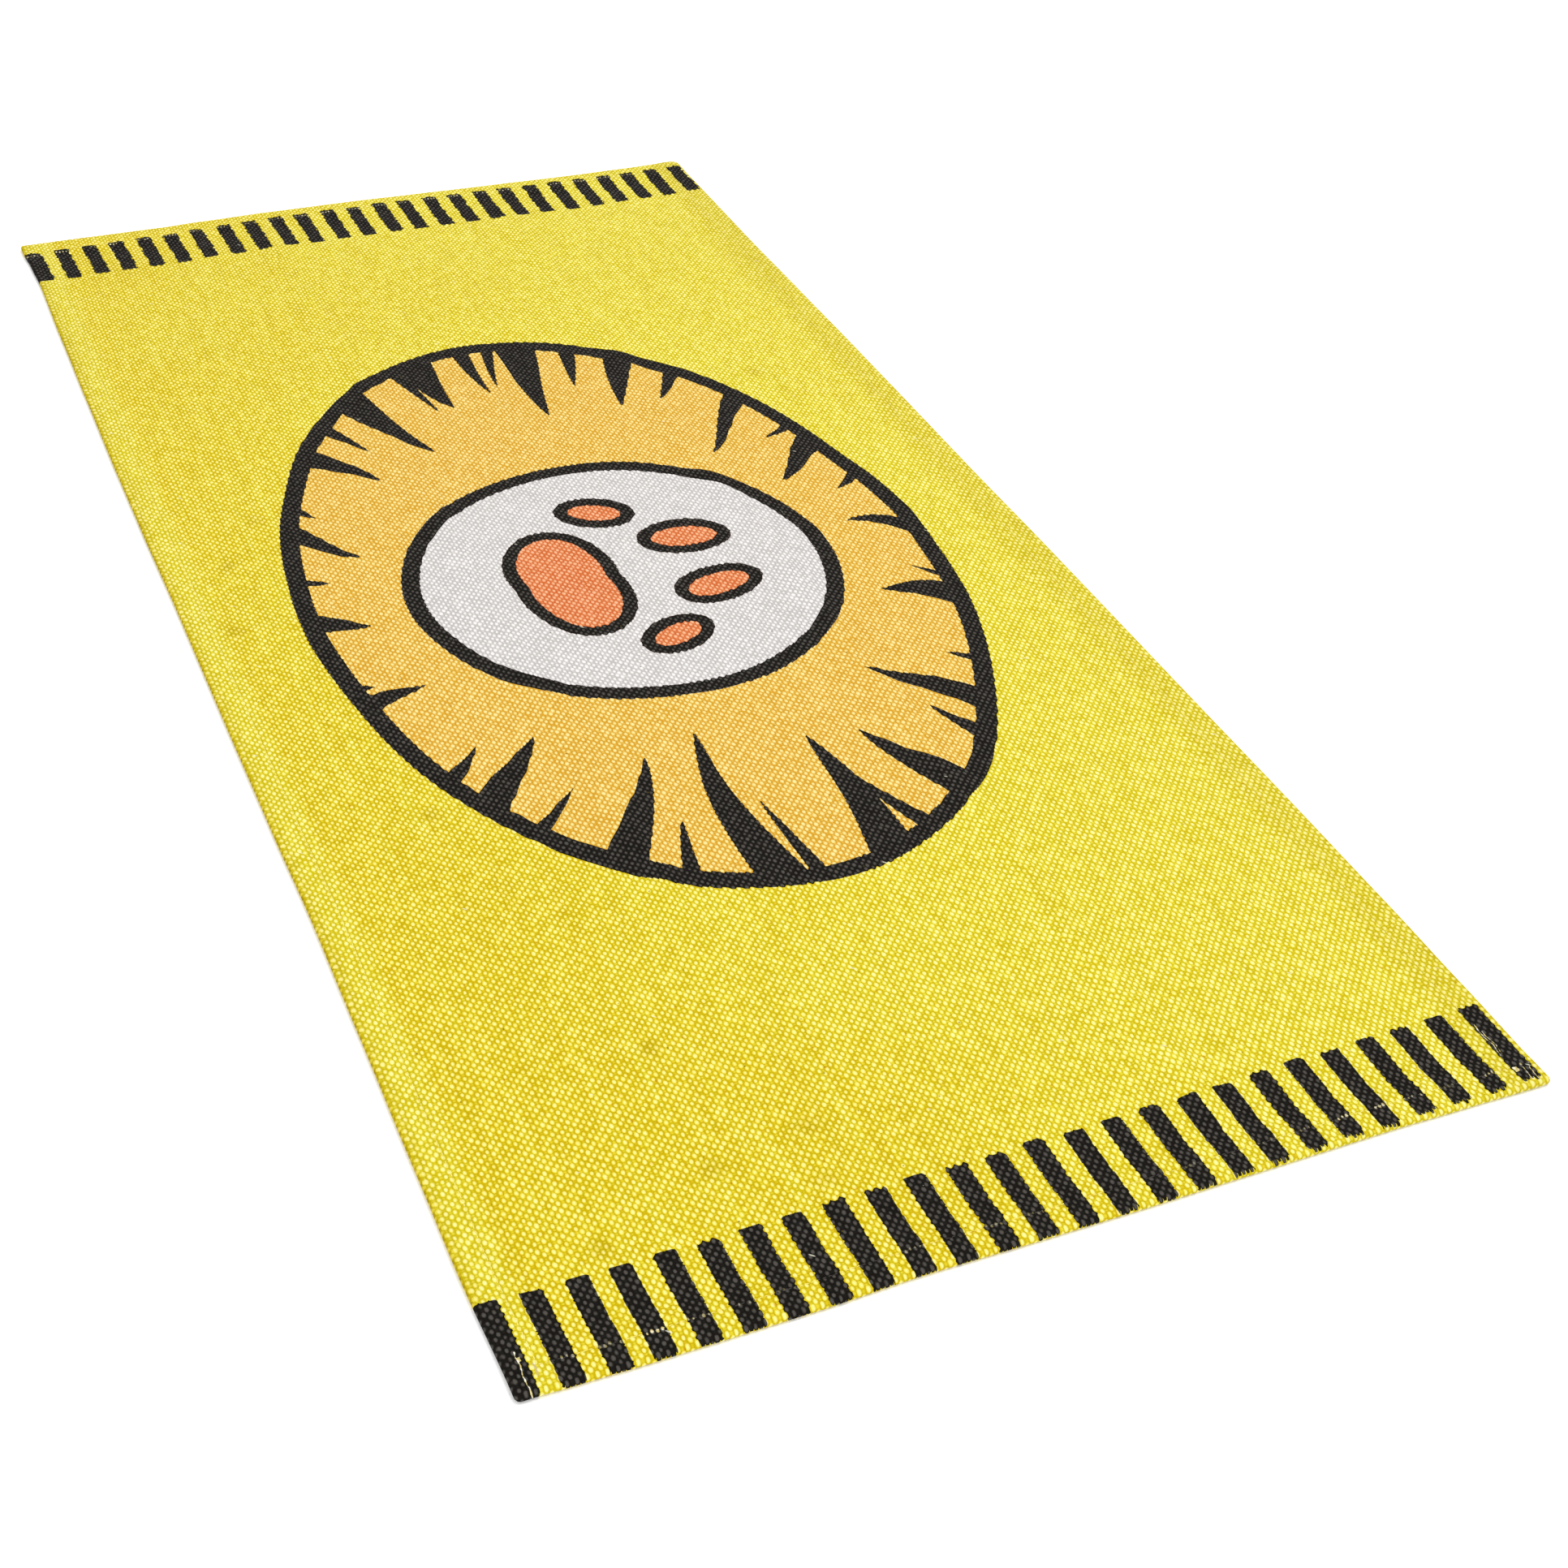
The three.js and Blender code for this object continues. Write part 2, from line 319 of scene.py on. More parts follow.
BLACK = {"gap": srgb(18, 15, 12), "yarn": srgb(30, 28, 24), "crown": srgb(75, 71, 67)}
NATURAL = {"gap": srgb(171, 158, 131), "yarn": srgb(197, 186, 162), "crown": srgb(218, 210, 192)}
FLECK = srgb(88, 77, 27)
LINT = srgb(221, 218, 197)
FLOOR_WHITE = srgb(252, 252, 251)

# Seeds of the random numbers
CROWN_SEED = 3.0
STRIPE_SEED = 5.0
TOOTH_SEED = 17.0
SIDE_TOOTH_SEED = 18.0
COAT_SEED = 21.0
MISSED_SEED = 31.0

CLOTH_ROUGHNESS = 0.92
CLOTH_GLOSS = 0.05
THREAD_ROUGHNESS = 0.8
THREAD_GLOSS = 0.15
# The thread's twist is painted as bands of highlight; PLY_SHADE sets how deep the painted shade between
# them is
PLY_SCALE = 9000.0  # of the thread's twist
PLY_SHADE = 0.25

CLOTH_MAP = "cloth"
BAKE_MAP = "OFBake"

# The photograph's view: from the right of the near end, with a slight roll. Turns are in degrees.
CAMERA_PLACE = (1.42905, -0.55795, 0.9863)
CAMERA_TURNS = (52.418, -3.098, 66.153)
CAMERA_LENS = 55.038
CAMERA_SENSOR = 36

# Soft even light, a little stronger from the right long edge, over a white floor
SKY_STRENGTH = 1.03
LAMPS = [
    {"name": "key", "place": (0.1, 1.1, 3.2), "aim": (0, 0, 0), "size": 1.8, "power": 44},
    {"name": "fill", "place": (2.2, -2.0, 0.8), "aim": (0.2, 0, 0), "size": 1.8, "power": 22},
]
FLOOR_REACH = 6.0
FLOOR_DROP = 0.1 * MM  # keeps the floor clear of the hem's underside

# Socket numbers of the Mix and Map Range nodes, where several sockets share a name
MIX_SHARE, MIX_LOW, MIX_HIGH, MIX_COLOUR = 0, 6, 7, 2
RANGE_VALUE, RANGE_LOW, RANGE_HIGH = 0, 1, 2


# Camera, light and floor

def add_camera():
    data = bpy.data.cameras.new("camera")
    data.sensor_width = CAMERA_SENSOR
    data.lens = CAMERA_LENS
    camera = bpy.data.objects.new("camera", data)
    camera.location = CAMERA_PLACE
    camera.rotation_euler = [math.radians(turn) for turn in CAMERA_TURNS]
    bpy.context.scene.collection.objects.link(camera)
    bpy.context.scene.camera = camera


def add_light(name, place, aim, size, power):
    data = bpy.data.lights.new(name, "AREA")
    data.shape = "DISK"
    data.size = size
    data.energy = power
    lamp = bpy.data.objects.new(name, data)
    lamp.location = place
    lamp.rotation_euler = (Vector(aim) - Vector(place)).to_track_quat("-Z", "Y").to_euler()
    bpy.context.scene.collection.objects.link(lamp)


def add_studio():
    world = bpy.data.worlds.new("studio")
    world.use_nodes = True
    background = world.node_tree.nodes["Background"]
    background.inputs["Color"].default_value = (1, 1, 1, 1)
    background.inputs["Strength"].default_value = SKY_STRENGTH
    bpy.context.scene.world = world
    bpy.context.scene.view_settings.view_transform = "Standard"
    for lamp in LAMPS:
        add_light(**lamp)
    add_floor()


def add_floor():
    mesh = bpy.data.meshes.new("floor")
    square = [(-1, -1), (1, -1), (1, 1), (-1, 1)]
    corners = [(x * FLOOR_REACH, y * FLOOR_REACH, -FLOOR_DROP) for x, y in square]
    mesh.from_pydata(corners, [], [(0, 1, 2, 3)])
    floor = bpy.data.objects.new("floor", mesh)
    bpy.context.scene.collection.objects.link(floor)
    paint = Finish("floor white")
    paint.shader.inputs["Base Color"].default_value = FLOOR_WHITE
    paint.shader.inputs["Roughness"].default_value = 0.9
    mesh.materials.append(paint.material)


# Shader maths

class Field:
    """A value that varies over a surface: one output of a shader node, ready for plain maths."""

    def __init__(self, finish, socket):
        self.finish = finish
        self.socket = socket

    def math(self, operation, *values):
        return self.finish.node("ShaderNodeMath", {"operation": operation}, values)

    def __add__(self, other):
        return self.math("ADD", self, other)

    __radd__ = __add__

    def __sub__(self, other):
        return self.math("SUBTRACT", self, other)

    def __rsub__(self, other):
        return self.math("SUBTRACT", other, self)

    def __mul__(self, other):
        return self.math("MULTIPLY", self, other)

    __rmul__ = __mul__

    def __truediv__(self, other):
        return self.math("DIVIDE", self, other)

    def __pow__(self, other):
        return self.math("POWER", self, other)

    def __neg__(self):
        return self.math("MULTIPLY", self, -1.0)

    def __abs__(self):
        return self.math("ABSOLUTE", self)

    def floor(self):
        return self.math("FLOOR", self)

    def sine(self):
        return self.math("SINE", self)

    def least(self, other):
        return self.math("MINIMUM", self, other)

    def most(self, other):
        return self.math("MAXIMUM", self, other)

    def above(self, limit):
        return self.math("GREATER_THAN", self, limit)

    def ramp(self, low, high):
        """0 at low, 1 at high, eased between them."""
        settings = {"interpolation_type": "SMOOTHSTEP"}
        inputs = {RANGE_VALUE: self, RANGE_LOW: low, RANGE_HIGH: high}
        return self.finish.node("ShaderNodeMapRange", settings, inputs)


class Finish:
    """A material and the nodes that work out its finish."""

    def __init__(self, name):
        self.material = bpy.data.materials.new(name)
        self.material.use_nodes = True
        self.tree = self.material.node_tree
        self.shader = self.tree.nodes["Principled BSDF"]

    def node(self, kind, settings=None, inputs=(), output=0):
        made = self.tree.nodes.new(kind)
        for name, value in (settings or {}).items():
            setattr(made, name, value)
        pairs = inputs.items() if isinstance(inputs, dict) else enumerate(inputs)
        for key, value in pairs:
            self.feed(made.inputs[key], value)
        return Field(self, made.outputs[output])

    def feed(self, socket, value):
        if isinstance(value, Field):
            self.tree.links.new(value.socket, socket)
        else:
            socket.default_value = value

    def axes(self, vector):
        """The three numbers of a vector."""
        made = self.node("ShaderNodeSeparateXYZ", None, [vector])
        outputs = made.socket.node.outputs
        return [Field(self, outputs[axis]) for axis in range(3)]

    def point(self, x, y, z=0.0):
        return self.node("ShaderNodeCombineXYZ", None, [x, y, z])

    def noise(self, place, scale, detail=1.0):
        """Soft cloudy values round 0.5."""
        return self.node("ShaderNodeTexNoise", None, {"Vector": place, "Scale": scale, "Detail": detail})

    def three_noises(self, place, scale, detail):
        """Three soft cloudy values round 0.5."""
        inputs = {"Vector": place, "Scale": scale, "Detail": detail}
        return self.axes(self.node("ShaderNodeTexNoise", None, inputs, "Color"))

    def chance(self, x, y, seed):
        """Three even random numbers for each pair of whole numbers."""
        settings = {"noise_dimensions": "3D"}
        inputs = {"Vector": self.point(x, y, seed)}
        return self.axes(self.node("ShaderNodeTexWhiteNoise", settings, inputs, "Color"))

    def mixed(self, share, low, high):
        """A colour between low and high."""
        inputs = {MIX_SHARE: share, MIX_LOW: low, MIX_HIGH: high}
        return self.node("ShaderNodeMix", {"data_type": "RGBA"}, inputs, MIX_COLOUR)

    def length(self, x, y):
        settings = {"operation": "LENGTH"}
        return self.node("ShaderNodeVectorMath", settings, [self.point(x, y)], "Value")


class Ink:
    """A print's tones: painted shade in the gaps beside the yarns, the tone on the yarns, and a painted
    highlight on their lit crowns.
    """

    def __init__(self, finish, tones):
        self.finish = finish
        self.tones = tones

    def under(self, share, tones):
        """The same print with another ink over it where share is 1."""
        mixed = {name: self.finish.mixed(share, tone, tones[name]) for name, tone in self.tones.items()}
        return Ink(self.finish, mixed)

    def colour(self, lit):
        """The colour from the gap's painted shade, through the yarn at one half, to the crown's painted
        highlight at 1.
        """
        low = self.finish.mixed(lit * 2.0, self.tones["gap"], self.tones["yarn"])
        return self.finish.mixed(lit * 2.0 - 1.0, low, self.tones["crown"])


class Sheet:
    """Places on the flat sheet, and where the ink meant for each of them falls."""

    def __init__(self, finish):
        self.finish = finish
        self.place = finish.node("ShaderNodeUVMap", {"uv_map": CLOTH_MAP})
        self.x, self.y, _ = finish.axes(self.place)
        self.ink_x = self.x
        self.ink_y = self.y
        self.tooth = 0.0  # how much further each yarn along the rug carries the ink
        self.side_tooth = 0.5  # 0 to 1: how far each yarn across the rug carries it


def at_least(spread, chance):
    """The least of a spread, and what chance adds to it."""
    least, more = spread
    return least + chance * more


class Weave(Sheet):
    """Plain weave over the sheet: its relief, and a lit share that paints highlights on the crowns and
    shade in the gaps. Ink gathers on the crowns.
    """

    def __init__(self, finish):
        super().__init__(finish)
        pull_x, pull_y, uneven = finish.three_noises(self.place, WANDER_SCALE, 2.0)
        self.across = (self.y + (pull_y - 0.5) * YARN_WANDER) * (1 / WARP_PITCH)
        self.along = (self.x + (pull_x - 0.5) * YARN_WANDER) * (1 / WEFT_PITCH)
        self.size = at_least(YARN_SIZE, uneven)
        warp, random, off_across, off_along = self.crowns(**WARP_CROWN)
        weft, weft_random, _, _ = self.crowns(**WEFT_CROWN)
        self.relief = warp.most(weft * WEFT_HEIGHT)
        self.fluff = finish.noise(self.place, FLUFF_SCALE, 2.0)
        # lit: painted highlight on the crowns, and painted shade where it is low
        lit = (warp * at_least(WARP_LIGHT, random)).most(weft * at_least(WEFT_LIGHT, weft_random))
        self.lit = (lit * at_least(FLUFF_LIGHT, self.fluff)).least(1.0)
        self.ink_x = self.x - off_along * INK_ALONG + (uneven - 0.5) * INK_STRAY
        self.ink_y = self.y - off_across * INK_ACROSS + (pull_x - 0.5) * INK_STRAY
        yarn = self.across.floor()
        reach, _, _ = finish.chance(yarn, 0.0, TOOTH_SEED)
        lowest, highest = TOOTH_LIMITS
        from_yarn = abs(self.across - yarn - 0.5)
        square = ((TOOTH_HALF - from_yarn) * TOOTH_STEEPNESS).least(highest).most(lowest)
        self.tooth = (reach - 0.5) * TOOTH_SPREAD + square
        centimetre = (self.y * 100.0).floor()
        self.side_tooth, _, _ = finish.chance(self.along.floor(), centimetre, SIDE_TOOTH_SEED)

    def crowns(self, shift, half_across, half_along, slant):
        """Rounded ovals on every second crossing.

        Gives their height, a random number for each, and the way to its middle across and along.
        """
        finish = self.finish
        rising = (self.across + self.along + shift) * 0.5
        falling = (self.across - self.along - shift) * 0.5
        rising_cell = rising.floor() + 0.5
        falling_cell = (falling + 0.5).floor()
        random, nudge, size = finish.chance(rising_cell, falling_cell, shift + CROWN_SEED)
        rising_off = rising - rising_cell
        falling_off = falling - falling_cell
        off_across = rising_off + falling_off
        off_along = rising_off - falling_off
        span = at_least(CROWN_SIZE, size) * self.size
        from_across = off_across + (nudge - 0.5) * CROWN_STRAY_ACROSS
        from_along = off_along + off_across * slant + (size - nudge) * CROWN_STRAY_ALONG
        reach_across = from_across / (span * half_across)
        reach_along = from_along / (span * half_along)
        height = (1.0 - reach_across * reach_across - reach_along * reach_along).most(0.0)
        return height, random, off_across, off_along


def specks(sheet, spacing, radius, seed, stretch=1.0):
    """1 on scattered specks, one for each square of the spacing, of up to that radius."""
    finish = sheet.finish
    x, y = sheet.x * (1 / spacing), sheet.y * (1 / spacing)
    cell_x, cell_y = x.floor(), y.floor()
    right, up, size = finish.chance(cell_x, cell_y, seed)
    off_x = x - cell_x - 0.2 - right * 0.6
    off_y = y - cell_y - 0.2 - up * 0.6
    away = finish.length((off_x + off_y) * (1 / stretch), off_x - off_y)
    return 1.0 - (away / size).ramp(0.7 * radius / spacing, 1.6 * radius / spacing)


def finish_cloth(weave, ink):
    """Painted highlights and shade of the weave, and the marks and relief that all of the cloth shares."""
    finish = weave.finish
    colour = ink.colour(weave.lit)
    colour = finish.mixed(specks(weave, **FLECKS) * MARK_SHARE, colour, FLECK)
    colour = finish.mixed(specks(weave, **LINT_BITS) * MARK_SHARE, colour, LINT)
    finish.feed(finish.shader.inputs["Base Color"], colour)
    height = weave.relief + weave.fluff * FLUFF_HEIGHT
    bumps = {"Height": height, "Distance": WEAVE_RELIEF, "Strength": 1.0}
    bump = finish.node("ShaderNodeBump", None, bumps)
    finish.feed(finish.shader.inputs["Normal"], bump)
    finish.shader.inputs["Roughness"].default_value = CLOTH_ROUGHNESS
    finish.shader.inputs["Specular IOR Level"].default_value = CLOTH_GLOSS


def smudges(sheet):
    """1 in the middle of each smudge, 0 away from them."""
    share = 0.0
    for smudge in SMUDGES:
        away = sheet.finish.length(sheet.x - smudge["x"], sheet.y - smudge["y"])
        share = share + 1.0 - away.ramp(0.0, smudge["reach"])
    return share


def yellow_ground(sheet):
    """Yellow, more golden and patchy towards the left long edge, in part as painted shade, and lighter
    towards the right one, as painted light.
    """
    finish = sheet.finish
    patches = finish.noise(sheet.place, PATCH_SCALE, 3.0)
    # Patchy golden tone, with painted shade towards the left long edge
    golden = (sheet.x * 0.1 - sheet.y + patches * 0.9).ramp(*GOLDEN_RANGE)
    # Painted light towards the right long edge
    right_light = (sheet.y + patches * 0.5).ramp(*RIGHT_LIGHT_RANGE)
    ink = Ink(finish, YELLOW).under(golden, GOLDEN).under(right_light * RIGHT_LIGHT_SHARE, LEMON)
    threads = finish.noise(sheet.place, THREAD_SCALE)
    ink = ink.under(threads.ramp(*THREAD_RANGE) * ORANGE_SHARE, ORANGE)
    ink = ink.under((1.0 - threads).ramp(*THREAD_RANGE) * OLIVE_SHARE, OLIVE)
    ink = ink.under(specks(sheet, **AMBER_BITS) * AMBER_SHARE, AMBER)
    return edge_tones(sheet, ink)


def near_edge(towards_edge, band):
    """0 up to the band's share, through a band along a long edge."""
    return towards_edge.ramp(WIDTH / 2 - band["start"], WIDTH / 2 - band["full"]) * band["share"]


def edge_tones(sheet, ink):
    """The ink with painted light and shade in bands along the hems and the left edge, long faint streaks
    and the smudges.
    """
    finish = sheet.finish
    right_hem_shade = near_edge(sheet.y, RIGHT_HEM_SHADE)
    left_hem_light = near_edge(-sheet.y, LEFT_HEM_LIGHT)
    rounding_shade = near_edge(-sheet.y, ROUNDING_SHADE)
    folded = near_edge(-sheet.y, FOLD_SHADE)
    streaks = finish.noise(finish.point(sheet.x * STREAK_STRETCH, sheet.y), STREAK_SCALE)
    # Painted light along the left hem, and the streaks' lighter side
    ink = ink.under(left_hem_light.most(streaks.ramp(*STREAK_RANGE) * STREAK_SHARE), LEMON)
    # Painted shade along the right hem and over the left edge's rounded fold, with the smudges and the
    # streaks' darker side added
    shade = right_hem_shade.most(rounding_shade).most(folded).most(smudges(sheet) * SMUDGE_SHARE)
    shade = shade + (1.0 - streaks).ramp(*STREAK_RANGE) * STREAK_SHADE
    return ink.under(shade, SHADED)


def plain_cloth():
    finish = Finish("yellow cloth")
    weave = Weave(finish)
    finish_cloth(weave, yellow_ground(weave))
    return finish.material


def bent_line(through, y):
    """x of a smooth line across the rug through three places: left edge, middle and right edge."""
    left, middle, right = through
    half = WIDTH / 2
    slope = (right - left) / (2 * half)
    bend = ((left + right) / 2 - middle) / half ** 2
    return (y * bend + slope) * y + middle


def stripe_place(y, row):
    """Place among the stripes of a row: a whole number at the middle of each stripe."""
    step = (y - row["middle"]) * (1 / row["pitch"])
    return step * (1.0 - step * row["growth"]) + (STRIPE_COUNT - 1) / 2


def stripe_print(sheet, row):
    """How far inside a printed stripe of a row a point is."""
    finish = sheet.finish
    outward = row["side"]
    place = stripe_place(sheet.ink_y, row).most(-0.2)  # the first stripe goes over the left edge
    number = (place + 0.5).floor().most(0.0).least(STRIPE_COUNT - 1.0)
    shift, ragged_in, ragged_out = finish.chance(number, 0.0, STRIPE_SEED + outward)
    off_middle = abs(place - number + (shift - 0.5) * STRIPE_SHIFT) * row["pitch"]
    inside = STRIPE_WIDTH / 2 - off_middle + (sheet.side_tooth - 0.5) * row["ragged"]
    from_inner = (sheet.ink_x - bent_line(row["inner"], sheet.ink_y)) * outward
    from_inner = from_inner + (ragged_in - 0.5) * INNER_STRAY
    from_outer = (bent_line(row["outer"], sheet.ink_y) - sheet.x) * outward
    from_outer = from_outer + (ragged_out - 0.5) * OUTER_STRAY
    from_outer = from_outer + (1.0 - number).most(0.0) * row["first_longer"]
    from_end = from_inner.least(from_outer + sheet.tooth)
    corner = finish.length((STRIPE_CORNER - inside).most(0.0), (STRIPE_CORNER - from_end).most(0.0))
    return STRIPE_CORNER - corner


def missed_bits(sheet, row):
    """How bare the bits beside the stitches are at one end."""
    finish = sheet.finish
    count = sheet.y * (1 / MISSED_PITCH)
    bit = count.floor()
    size, nudge, present = finish.chance(bit, 0.0, MISSED_SEED + row["side"])
    place = stripe_place(sheet.y, row)
    bare = 0.0
    for number, share in row["missed"].items():
        bare = bare + (MISSED_HALF - abs(place - number)).above(0.0) * share
    off_line = sheet.x - bent_line(row["bits"], sheet.y) - (nudge - 0.5) * MISSED_STRAY
    away = finish.length((count - bit - 0.5) * MISSED_PITCH, off_line * MISSED_SQUEEZE)
    bits = 1.0 - (away / at_least(MISSED_SIZE, size)).ramp(*MISSED_RIM)
    return bits * bare * present.above(MISSED_FULL)


def scratches(sheet):
    """1 on thin broken scratches that the ink missed."""
    finish = sheet.finish
    wobble = finish.noise(sheet.place, 90.0, 2.0)
    gaps = finish.noise(sheet.place, 400.0, 1.0)
    share = None
    for scratch in SCRATCHES:
        line = scratch["half"] - abs(sheet.y - scratch["at"] + (wobble - 0.5) * SCRATCH_WOBBLE)
        line = line.least(sheet.x - scratch["start"]).least(scratch["end"] - sheet.x)
        share = line if share is None else share.most(line)
    return (share + (gaps - 0.5) * SCRATCH_GAPS).ramp(*SCRATCH_RIM)


def end_print(sheet):
    """The ink of the two ends: a row of black stripes each, with bits that it missed."""
    black = stripe_print(sheet, NEAR_STRIPES).most(stripe_print(sheet, FAR_STRIPES))
    black = black.ramp(-INK_BLUR, INK_BLUR)
    bits = missed_bits(sheet, NEAR_STRIPES).most(missed_bits(sheet, FAR_STRIPES))
    missed = (bits * black).most(scratches(sheet))
    return yellow_ground(sheet).under(black, BLACK).under(missed, BARE)


def striped_cloth():
    finish = Finish("striped cloth")
    weave = Weave(finish)
    finish_cloth(weave, end_print(weave))
    return finish.material


def sewing_thread():
    """Cotton thread, printed together with the cloth."""
    finish = Finish("sewing thread")
    sheet = Sheet(finish)
    ink = end_print(sheet)
    # Painted highlights along the thread's twist, between the yarn tone and the crown tone
    twist_light = ((sheet.x + sheet.y) * PLY_SCALE).sine() * PLY_SHADE + (1.0 - PLY_SHADE)
    finish.feed(finish.shader.inputs["Base Color"], ink.colour(twist_light))
    finish.shader.inputs["Roughness"].default_value = THREAD_ROUGHNESS
    finish.shader.inputs["Specular IOR Level"].default_value = THREAD_GLOSS
    return finish.material


def oval(x, y, half_x, half_y):
    """About how far inside an oval a point is."""
    finish = x.finish
    share = finish.length(x / half_x, y / half_y)
    steepness = finish.length(x / half_x ** 2, y / half_y ** 2)
    return share * (1.0 - share) / steepness.most(0.001)


def turned(x, y, degrees):
    """A point's place along axes that are turned by some degrees."""
    cosine = math.cos(math.radians(degrees))
    sine = math.sin(math.radians(degrees))
    return x * cosine + y * sine, y * cosine - x * sine


def coat_stripes(x, y, way_in, row):
    """How far inside a row of tapered stripes a point is.

    The way in is 0 at the badge's rim and 1 at the disc.
    """
    finish = x.finish
    half_x, half_y = BADGE_LENGTH / 2, BADGE_WIDTH / 2
    angle = x.math("ARCTAN2", y / half_y, x / half_x)
    place = angle * (COAT_STRIPES / (2 * math.pi)) + row["shift"]
    number = place.floor()
    shift, size, lean = finish.chance(number, row["shift"], COAT_SEED)
    wave = (way_in * 5.0 + size * 9.0).sine() * COAT_WAVE
    off_middle = place - number - 0.5 - (shift - 0.5) * COAT_SHIFT
    off_middle = off_middle - (lean - 0.5) * way_in * COAT_LEAN - wave
    round_rim = finish.length(y * (half_x / half_y), x * (half_y / half_x))
    off_middle = abs(off_middle) * round_rim * (2 * math.pi / COAT_STRIPES)
    tip = at_least(COAT_REACH, size) * row["reach"]
    taper = (1.0 - way_in / tip).most(0.0) ** COAT_TAPER
    return taper * at_least(COAT_WIDTH, shift) * row["half"] - off_middle


def paw(x, y):
    """How far inside the pads of a paw print a point is."""
    side = abs(x)
    inside = None
    for pad in PAW_PADS:
        pad_x, pad_y = turned(side - pad["x"], y - pad["y"], pad["turn"])
        in_pad = oval(pad_x, pad_y, pad["half_x"], pad["half_y"])
        inside = in_pad if inside is None else inside.most(in_pad)
    return inside


def line_inside(inside, width):
    """How far inside a line along a shape's rim a point is."""
    return inside.least(width - inside)


def badge_cloth():
    """The middle of the rug, with the printed badge."""
    finish = Finish("badge cloth")
    weave = Weave(finish)
    drift_x, drift_y, _ = finish.three_noises(weave.place, 9.0, 0.0)
    x = weave.ink_x + (drift_x - 0.5) * BADGE_DRIFT
    y = weave.ink_y + (drift_y - 0.5) * BADGE_DRIFT
    badge = oval(x, y, BADGE_LENGTH / 2, BADGE_WIDTH / 2)
    disc = DISC_RADIUS - finish.length(x, y)
    pads = paw(x, y)
    way_in = badge / (badge - disc)
    coat = coat_stripes(x, y, way_in, LONG_STRIPES).most(coat_stripes(x, y, way_in, SHORT_STRIPES))
    black = coat.least(badge).most(line_inside(badge, BADGE_LINE))
    black = black.least(-disc).most(line_inside(disc, DISC_LINE)).most(line_inside(pads, PAW_LINE))
    ink = yellow_ground(weave)
    for shape, tones in ((badge, TAN), (disc, OFF_WHITE), (pads, SALMON), (black, BLACK)):
        ink = ink.under(shape.ramp(-INK_BLUR, INK_BLUR), tones)
    finish_cloth(weave, ink)
    return finish.material


def back_cloth():
    """The unprinted back."""
    finish = Finish("natural back")
    weave = Weave(finish)
    finish_cloth(weave, Ink(finish, NATURAL))
    return finish.material


# The rug's form

def from_table(rows, column, place):
    """One column of a table of millimetres, in metres, eased from row to row at many places."""
    at = np.array([row["at"] for row in rows]) * MM
    value = np.array([row[column] for row in rows]) * MM
    after = np.clip(np.searchsorted(at, place, side="right"), 1, len(at) - 1)
    share = np.clip((place - at[after - 1]) / (at[after] - at[after - 1]), 0, 1)
    return value[after - 1] + (value[after] - value[after - 1]) * share ** 2 * (3 - 2 * share)


def eased(value, low, high):
    share = np.clip((value - low) / (high - low), 0, 1)
    return share ** 2 * (3 - 2 * share)


def insets(x, y):
    """Distances from points of the plain rectangle to the nearest end and the nearest long edge."""
    return LENGTH / 2 - np.abs(x), WIDTH / 2 - np.abs(y)


def grid_lines(side):
    """Lines of surface points across one side: close together at the hem."""
    half = side / 2
    from_edge = [*RIM_LINES, HEM, HEM + HEM_STEP, HEM + HEM_FADE]
    from_edge += [STITCH_INSET + share * GROOVE_REACH for share in GROOVE_LINES]
    from_edge += [HEM + share * HEM_FADE for share in SLOPE_LINES]
    lines = [sign * (half - distance) for distance in from_edge for sign in (-1, 1)]
    flat = side - 2 * (HEM + HEM_FADE)
    steps = math.ceil(flat / MESH_STEP)
    lines += [(step / steps - 0.5) * flat for step in range(1, steps)]
    return np.array(sorted(lines))


def rounded_corner(x, y):
    """Rounds the corners: squares round a corner's centre become arcs."""
    from_end, from_side = insets(x, y)
    for (sign_x, sign_y), radius in CORNER_RADII.items():
        u = radius - from_end
        v = radius - from_side
        inside = (u > 0) & (v > 0) & (x * sign_x > 0) & (y * sign_y > 0)
        pull = np.maximum(u, v) / np.maximum(np.hypot(u, v), 1e-9)
        x = np.where(inside, sign_x * (LENGTH / 2 - radius + u * pull), x)
        y = np.where(inside, sign_y * (WIDTH / 2 - radius + v * pull), y)
    return x, y


def bowed(x, y):
    """Moves points of the plain rectangle with the bowed edges."""
    share_x = np.clip(x / LENGTH + 0.5, 0, 1)
    share_y = np.clip(y / WIDTH + 0.5, 0, 1)
    far, near = -from_table(SHORT_EDGES, "far", y), from_table(SHORT_EDGES, "near", y)
    left, right = -from_table(LONG_EDGES, "left", x), from_table(LONG_EDGES, "right", x)
    return x + far + (near - far) * share_x, y + left + (right - left) * share_y


def loose_rise(x, y):
    """Height of the creases and waves, which die out over the hem."""
    inside = np.minimum(*insets(x, y)) - HEM
    rise = np.zeros_like(x)
    for crease in CREASES:
        offset = ((y if crease["along"] == "x" else x) - crease["at"]) / crease["reach"]
        ridge = crease["rise"] * np.cos(np.clip(offset, -1, 1) * math.pi / 2) ** 2
        rise = np.maximum(rise, ridge)
    for wave in WAVES:
        heading = math.radians(wave["heading"])
        travelled = (x * math.cos(heading) + y * math.sin(heading)) / wave["length"]
        rise = rise + wave["rise"] * (0.5 + 0.5 * np.cos(2 * math.pi * travelled + wave["phase"]))
    return rise * eased(inside, 0, 2 * HEM_FADE)


